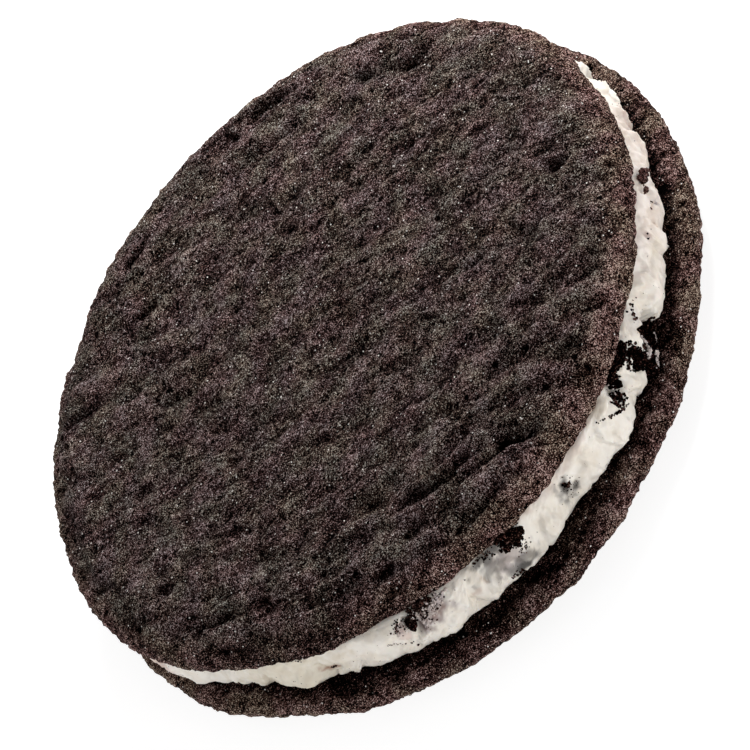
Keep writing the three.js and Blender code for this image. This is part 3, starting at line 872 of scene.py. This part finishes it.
# --------cookie pieces in the cream
# Pieces of crushed chocolate cookie, folded into the cream before it was spread. The largest
# stand in its torn side as ragged clusters of grains, some reaching from one cookie to the
# other, and loose crumbs lie round them. The crumb is darker where the cream has wetted it.
CHUNKS = [  # azimuth, height, half sizes (across, inward, up), how deep it sits, its tone
    (329, 10, (0.6, 0.6, 0.65), 0.2, 2.2),
    (327.4, 10.7, (0.5, 0.5, 0.6), 0.3, 2.2),
    (325.2, 10.4, (0.45, 0.4, 0.3), 0.2, 2.2),
    # Deep in the lowest bite, this dark chunk is partly a cookie piece and partly painted shade
    # standing in for the gap's shadow.
    (300.9, 7.2, (2, 1, 2), 2.5, -5),
    (293.2, 12.3, (2.1, 1.2, 1.1), 1.2, -5),
    (295, 9.8, (1.4, 1.3, 1.8), 0.9, -5),
    (296.2, 7, (1.5, 1.4, 1.9), 0.5, -4),
    (290.3, 11.6, (0.9, 1.1, 1.3), 1.1, -5),
    (288.1, 9.2, (1, 0.9, 1.4), 0.7, -4),
    (272.7, 9.8, (0.4, 0.4, 0.5), 0.5, -2),
    (261, 11.6, (1.6, 1.4, 1.6), 0.3, -3.5),
    (243.6, 13, (1.2, 1, 0.4), 0.9, -0.5),
    (241.2, 12.3, (0.6, 0.9, 0.8), 0.8, -2.5),
    (239.8, 10.9, (0.5, 0.9, 0.9), 0.7, -3),
    (160, 9.2, (1.8, 1.4, 1.3), 0.8, -2),
    (122, 8.4, (1.4, 1.1, 1.2), 0.6, -2),
    (70, 9.4, (2.1, 1.5, 1.4), 0.9, -2),
    (28, 8.6, (1.3, 1.1, 1), 0.6, -2),
]
CHUNK_GRAINS = 40  # for each square millimetre of half across by half up
CHUNK_GRAIN_SIZE = (0.10, 0.24)
CHUNK_FRAY = 1.25  # how far the grains reach past a chunk's edge
LOOSE_TONE = -2.5
LOOSE_CRUMBS = [  # from azimuth and height, to azimuth and height, spread, count, sizes
    (287.2, 7.8, 284.8, 9.2, 0.10, 22, (0.08, 0.20)),
    (284.8, 9.2, 282.6, 11.1, 0.12, 14, (0.05, 0.13)),
    (301.9, 11.8, 300.9, 11, 0.15, 12, (0.10, 0.22)),
    (304, 11.6, 301.4, 12.4, 0.20, 8, (0.08, 0.16)),
    (300.9, 9.2, 300, 8, 0.30, 22, (0.08, 0.20)),
    (317.3, 10.8, 315.7, 10.4, 0.10, 5, (0.08, 0.14)),
    (324.7, 10.7, 322.4, 9.4, 0.15, 9, (0.08, 0.18)),
    (273.6, 11, 272.2, 7.8, 0.30, 20, (0.04, 0.11)),
    (274.6, 8.4, 271.2, 9.8, 0.22, 12, (0.04, 0.10)),
    (262.4, 9.3, 260.2, 8.3, 0.40, 44, (0.04, 0.11)),
    (258.6, 6.4, 256.8, 6.6, 0.25, 22, (0.08, 0.18)),
    (257.6, 11.9, 253.8, 12.6, 0.35, 60, (0.06, 0.14)),
    (246.4, 12.6, 242, 10.6, 0.55, 130, (0.06, 0.16)),
    (238.6, 12.4, 237.4, 10.8, 0.35, 50, (0.06, 0.13)),
    (237.6, 8, 234.6, 9.8, 0.10, 16, (0.05, 0.11)),
    (237.7, 7.2, 237.7, 7.2, 0.03, 3, (0.14, 0.18)),
    (222.8, 9.4, 220.6, 9.2, 0.10, 22, (0.06, 0.12)),
    (251.4, 11.7, 251.4, 11.7, 0.05, 2, (0.10, 0.13)),
    (219.7, 12.4, 217.5, 12, 0.20, 6, (0.07, 0.14)),
    (0, 9, 360, 9, 1.3, 150, (0.03, 0.07)),
]
MM_PER_DEGREE = SIDE_REACH * math.pi / 180
GRAIN_BUMPS, GRAIN_STRETCH = (0.7, 1.25), (0.65, 1.3)
TONE_SPREAD = 2.0
START_OUTSIDE = 8  # how far out a grain starts on its way in
WET_CREST, WET_RED = (0.19, 0.15, 0.14, 1), (0.32, 0.17, 0.15, 1)

wet_crumb = cocoa_crumb("wet_cocoa_crumb", WET_CREST, WET_RED)


def round_lump(detail):
    """Points and triangles of a ball of radius 1."""
    ball = bpy.data.meshes.new("round_lump")
    shape = bmesh.new()
    bmesh.ops.create_icosphere(shape, subdivisions=detail, radius=1)
    shape.to_mesh(ball)
    shape.free()
    places = np.array([vertex.co for vertex in ball.vertices])
    faces = np.array([list(polygon.vertices) for polygon in ball.polygons])
    bpy.data.meshes.remove(ball)
    return places, faces


def joined(parts):
    """One set of points and triangles from several."""
    points = np.vstack([part[0] for part in parts])
    starts = np.cumsum([0] + [len(part[0]) for part in parts[:-1]])
    triangles = np.vstack([np.add(part[1], start) for part, start in zip(parts, starts)])
    return points, triangles.tolist()


def way_in(azimuth, height):
    """A place on the side's widest reach, and the direction that slopes inwards from it."""
    turn = math.radians(azimuth)
    outward = Vector((math.cos(turn), math.sin(turn), 0))
    inward = -math.cos(SIGHT_SLOPE) * outward - Vector((0, 0, math.sin(SIGHT_SLOPE)))
    return SIDE_REACH * outward + Vector((*CREAM_SHIFT, height)), inward


def turned_about_z(points, azimuth):
    """The points, turned so that what faced +X faces the azimuth."""
    turn = math.radians(azimuth)
    x, y, z = points.T
    cos, sin = math.cos(turn), math.sin(turn)
    return np.column_stack((x * cos - y * sin, x * sin + y * cos, z))


def strewn(groups, draw):
    """Azimuth, height and size of grains scattered along lines on the side."""
    found = []
    for azimuth0, height0, azimuth1, height1, spread, count, (smallest, largest) in groups:
        share = draw.uniform(0, 1, count)
        azimuths = azimuth0 + share * (azimuth1 - azimuth0)
        azimuths += draw.normal(0, spread / MM_PER_DEGREE, count)
        heights = height0 + share * (height1 - height0) + draw.normal(0, spread, count)
        found.append(np.column_stack((azimuths, heights, draw.uniform(smallest, largest, count))))
    return np.vstack(found)


def settled_grains(surface, strewn_places, draw):
    """Uneven grains, each half sunk into the surface that it meets, and which ones met it."""
    ball, faces = round_lump(detail=2)
    parts = []
    met = []
    for number, (azimuth, height, size) in enumerate(strewn_places):
        outside, inward = way_in(azimuth, height)
        start = outside - START_OUTSIDE * inward
        place = surface.ray_cast(start, inward, 2 * START_OUTSIDE)[0]
        if place is not None:
            bumps = draw.uniform(*GRAIN_BUMPS, (len(ball), 1)) * draw.uniform(*GRAIN_STRETCH, 3)
            parts.append((ball * bumps * size + np.array(place), faces))
            met.append(number)
    return *joined(parts), met


draw = np.random.default_rng(7)
ball, ball_faces = round_lump(detail=4)
chunk_parts = []
for number, (centre, height, (across, inwards, upward), depth, tone) in enumerate(CHUNKS):
    rough = 1 + 0.55 * lumps(ball, 0.8, 61 + number) + 0.2 * lumps(ball, 0.3, 81 + number)
    chunk = turned_about_z(ball * rough[:, None] * (inwards, across, upward), centre)
    outside, inward = way_in(centre, height)
    chunk_parts.append((chunk + np.array(outside + depth * inward), ball_faces))
points, triangles = joined(chunk_parts)
chunk_count = len(points)
chunk_tone = np.repeat([tone for *place, tone in CHUNKS], len(ball))
chunk_grains = []
grain_tones = []
for centre, height, (across, inwards, upward), depth, tone in CHUNKS:
    count = round(CHUNK_GRAINS * across * upward)
    grain_tones.append(np.full(count, float(tone)))
    turn = draw.uniform(0, 2 * math.pi, count)
    out = CHUNK_FRAY * np.sqrt(draw.uniform(0, 1, count))
    chunk_grains.append(np.column_stack((
        centre + out * across * np.cos(turn) / MM_PER_DEGREE,
        height + out * upward * np.sin(turn),
        draw.uniform(*CHUNK_GRAIN_SIZE, count),
    )))
side = joined([cream_form, (points, triangles)])
side_surface = BVHTree.FromPolygons(side[0].tolist(), side[1])
loose_crumbs = strewn(LOOSE_CRUMBS, draw)
grain_tones.append(np.full(len(loose_crumbs), LOOSE_TONE))
crumb_places = np.vstack((*chunk_grains, loose_crumbs))
grain_points, grain_triangles, met = settled_grains(side_surface, crumb_places, draw)
points, triangles = joined([(points, triangles), (grain_points, grain_triangles)])
cookie_pieces = new_piece("cookie_pieces_in_cream", points, triangles, wet_crumb)
height = np.where(np.arange(len(points)) < chunk_count, 0.5 * crumb(points, 91), 0)
push_out(cookie_pieces, height)
per_grain = len(grain_points) // len(met)
grain_tones = np.concatenate(grain_tones)[met] + draw.normal(0, TONE_SPREAD, len(met))
grain_tone = np.repeat(grain_tones, per_grain)
grain_red = np.repeat(draw.uniform(0, 1, len(met)) ** 2, per_grain)
mark(cookie_pieces, "crumb_height", np.concatenate((chunk_tone, grain_tone)))
mark(cookie_pieces, "rim_share", np.concatenate((np.zeros(chunk_count), grain_red)))
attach(cookie_pieces, "root")
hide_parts("cream_filling")

# --------flecks of cream
# Slivers, threads and flecks of cream that cling to the cookie pieces where the filling tore.
# They are the same cream, tinged pink and grey by the wet crumb. Each is an uneven grain, and
# a thread is a row of them.
CREAM_FLECKS = [  # from azimuth and height, to azimuth and height, spread, count, sizes
    (293.4, 13.1, 290.7, 12.9, 0.08, 46, (0.10, 0.24)),
    (297.5, 7.4, 296.2, 7.2, 0.15, 26, (0.10, 0.20)),
    (297.6, 6.2, 295.8, 5.4, 0.15, 30, (0.08, 0.18)),
    (299.4, 9.2, 297.7, 7, 0.05, 40, (0.10, 0.20)),
    (301.8, 7, 299.4, 5.2, 0.04, 34, (0.06, 0.12)),
    (247, 12.4, 243.4, 11, 0.55, 120, (0.07, 0.20)),
    (244.6, 10.8, 241.6, 9.4, 0.35, 50, (0.07, 0.18)),
    (242, 12.6, 241.4, 9.4, 0.15, 30, (0.07, 0.16)),
    (238.6, 11.8, 237.4, 10, 0.30, 24, (0.06, 0.14)),
    (289.4, 12.2, 288.6, 10, 0.12, 14, (0.07, 0.15)),
]
FLECK_PALE = (0.70, 0.60, 0.57)

side = joined([side, (grain_points, grain_triangles)])
side_surface = BVHTree.FromPolygons(side[0].tolist(), side[1])
points, triangles, met = settled_grains(side_surface, strewn(CREAM_FLECKS, draw), draw)
flecks = new_piece("flecks_of_cream", points, triangles, cream_material)
tinge = np.repeat(draw.uniform(0, 1, (len(met), 1)), len(points) // len(met), axis=0)
mark_tint(flecks, np.array(LILAC) + tinge * (np.array(FLECK_PALE) - LILAC))
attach(flecks, "root")
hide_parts("cream_filling")

# --------upper cookie
# The cookie that shows most: the same dough, with its baked face up. Its face is wrinkled where
# the dough sank as it cooled, most at the near side, and its rim is worn and a little browner.
# It sits on the cream by its flat base.
UPPER_RADIUS = 45.0
UPPER_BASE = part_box("top_cookie")[0].z / MM
UPPER_SWELLS = [(2, 0.25, -12), (3, 0.31, 43), (4, 0.28, 3)]  # waves round, height, peak
UPPER_DENTS = [  # azimuth, reach, half width in degrees
    (25, -0.35, 8), (103, 0.5, 7), (127, 0.6, 5), (160, -0.5, 8), (212, -0.4, 9),
    (239, -0.9, 9), (255, -0.7, 5), (300, -0.6, 4), (315, -0.3, 5), (348, -0.5, 6),
]
FACE_SINK = 0.15  # of the whole face between its rim's height and its own, as it cooled
CREASES = [  # path, depth, half width: the sharpest, where the crust split as it sank
    ([(-3.6, -38), (-0.6, -39.2), (2.2, -39.8), (3.9, -40.7), (5.8, -42)], 1.9, 0.45),
    ([(0, -41.2), (2, -41.6), (3.6, -42.6)], 0.6, 0.35),
    ([(-38.2, -21.5), (-36.8, -25), (-34.7, -27.6)], 1.5, 0.6),
    ([(-24.5, -36.2), (-21.5, -37.4), (-17.5, -38.6)], 0.6, 0.4),
    ([(13, -38), (15, -38.5), (17.2, -38.5)], 0.9, 0.6),
    ([(31.6, -16.4), (33.4, -18.2)], 0.9, 0.5),
    ([(-11.5, -31.6), (-8.5, -32.6)], 0.8, 0.5),
    ([(-9, 38), (-5.2, 38)], 0.8, 0.4),
]
CRACK_SHARE = 0.7  # of a wrinkle's depth
CRACK_HALF_WIDTH = 0.4
CRACK_WANDER = 0.6
CRACK_ENDS = 0.25  # what is left of its depth at a crack's ends
BUBBLE_HOLES = [  # x, y and radius of the largest holes that bubbles left in the face
    (-19.4, -2.5, 1.1), (1.2, -8, 0.8), (13.3, -4.4, 0.7), (17.2, -2.8, 0.5),
    (27.2, -3.5, 0.6), (8.1, -15.6, 0.6), (10.7, -16.5, 0.5), (17.1, -11, 0.5),
    (12.7, -11.5, 0.4), (-4.6, 14.2, 0.5), (27.4, -13.8, 0.5), (38.2, -11.4, 0.6),
    (37.5, -16.3, 0.6), (39.3, -18.3, 0.4), (5.6, 7, 0.7), (30.7, -25.4, 0.6),
    (20.8, -24, 0.4), (15.7, -24.8, 0.5), (18.2, -31, 0.6), (17, 15.4, 0.9),
    (14.4, -31.5, 0.9), (2.4, -36.5, 0.7), (6, -39, 0.8), (1, -31.1, 0.7),
    (16.8, 10.8, 0.5), (3.3, -30.6, 0.5), (-36.9, -12.5, 0.6), (-36, -4.2, 0.8),
    (-41, -11.6, 0.5), (25.8, 3.6, 0.6), (-24.4, -14.5, 0.5), (-27.4, -24.6, 0.6),
    (-17.8, 34.8, 0.6), (-13.5, 35.2, 0.7), (7.8, 15.4, 0.9), (-9.5, 33.9, 0.6),
    (-20, 32.4, 0.5), (-38.3, 15.2, 0.6), (-36, 12.4, 0.7), (-30.5, 0.5, 0.6),
    (-35.7, 0.8, 0.6), (25.3, 19.1, 0.6), (15.7, 25, 0.5), (31.3, 10, 0.6),
    (34.8, 9, 0.5), (38.8, 8.8, 0.7), (39, 2.6, 0.6), (12.8, 11.5, 0.8),
    (3.8, 29.3, 0.5), (-3.9, 26.2, 0.6), (-23, 7, 1),
]
HOLE_WANDER = 0.35
HOLE_DEPTH = 0.6  # of its radius
UPPER_CREST, UPPER_RIM_CREST = (0.347, 0.353, 0.36, 1), (0.57, 0.47, 0.425, 1)
RIM_WEAR = (41.5, 44.5)  # from no wear to full wear
UPPER_SHADED_SIDE = (-140, 28)  # the azimuth turned from the side lamp, where shade is painted on the rim, and half its spread
# Painted shade in the deep folds of the near side and in the cracks and holes, and a face a little
# darker towards its middle
FOLD_DARKNESS, FOLD_DEEPEST, FOLDS_SPAN = 0.4, 0.9, (-36, -12)
MIDDLE_SPAN, DARKEST_SUNK = (20, 34), 1.3


def wandered(x, y, size, reach, seed):
    """The same places, each moved a little, which makes a smooth edge there ragged."""
    flat = on_plane(x, y, NOISE_PLANE)
    return x + reach * lumps(flat, size, seed), y + reach * lumps(flat, size, seed + 1)


def cracks(x, y):
    """How deep the sharp dark creases are, alone and at the bottoms of the wrinkles."""
    x, y = wandered(x, y, 2.4, CRACK_WANDER, seed=14)
    in_wrinkles = [(path, CRACK_SHARE * depth, CRACK_HALF_WIDTH) for path, depth, _ in WRINKLES]
    deepest = np.zeros(len(x))
    for path, depth, half_width in in_wrinkles + CREASES:
        nearest, along = beside_path(x, y, path)[:2]
        crack = depth * faded(along, CRACK_ENDS) * bell(nearest, 0, half_width)
        deepest = np.maximum(deepest, crack)
    return deepest


def bubble_holes(x, y):
    """How deep the bubble holes are, each a ragged bowl."""
    x, y = wandered(x, y, 0.8, HOLE_WANDER, seed=16)
    depth = np.zeros(len(x))
    for hole_x, hole_y, radius in BUBBLE_HOLES:
        away = np.hypot(x - hole_x, y - hole_y) / radius
        depth = np.maximum(depth, HOLE_DEPTH * radius * np.exp(-(away**3)))
    return depth


upper_crumb = cocoa_crumb("upper_cocoa_crumb", UPPER_CREST, UPPER_RIM_CREST)
upper_profile = cookie_profile(UPPER_RADIUS, face_spacing=0.29, rim_spacing=0.29, base_reach=42)
points, triangles = turned_body(upper_profile)
x, y, z = points.T
azimuth = np.arctan2(y, x)
reach = np.hypot(x, y)
offset = (reach / UPPER_RADIUS) ** 4 * outline_offset(azimuth, UPPER_SWELLS, UPPER_DENTS)
x = x + offset * np.cos(azimuth)
y = y + offset * np.sin(azimuth)
relief = baked_relief(x, y)
z = z + z / COOKIE_THICKNESS * (relief - FACE_SINK)
points = np.column_stack((x, y, z + UPPER_BASE))
upper_cookie = new_piece("upper_cookie", points, triangles, upper_crumb)
height = crumb(points, 11)
on_face = z > COOKIE_THICKNESS / 2
sunk = (cracks(x, y) + bubble_holes(x, y)) * on_face
push_out(upper_cookie, height - sunk)
rim = smoothstep(reach, *RIM_WEAR)
shaded_side = bell(np.degrees(azimuth), *UPPER_SHADED_SIDE)
# Painted shade: darker in the cracks, bubble holes and deep folds, and on the rim's shaded side;
# the face also darkens a little towards its middle.
fold_shade = FOLD_DARKNESS * np.clip(-relief, -0.5, FOLD_DEEPEST) * on_face
fold_shade *= 1 - smoothstep(y, *FOLDS_SPAN)
darkening = np.minimum(sunk, DARKEST_SUNK) + fold_shade + 0.4 * rim * shaded_side
darkening += 0.1 * (1 - smoothstep(reach, *MIDDLE_SPAN))
mark_crumb(upper_cookie, height, 0.8 * rim * (1 - 0.5 * shaded_side), darkening)
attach(upper_cookie, "root")
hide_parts("top_cookie")
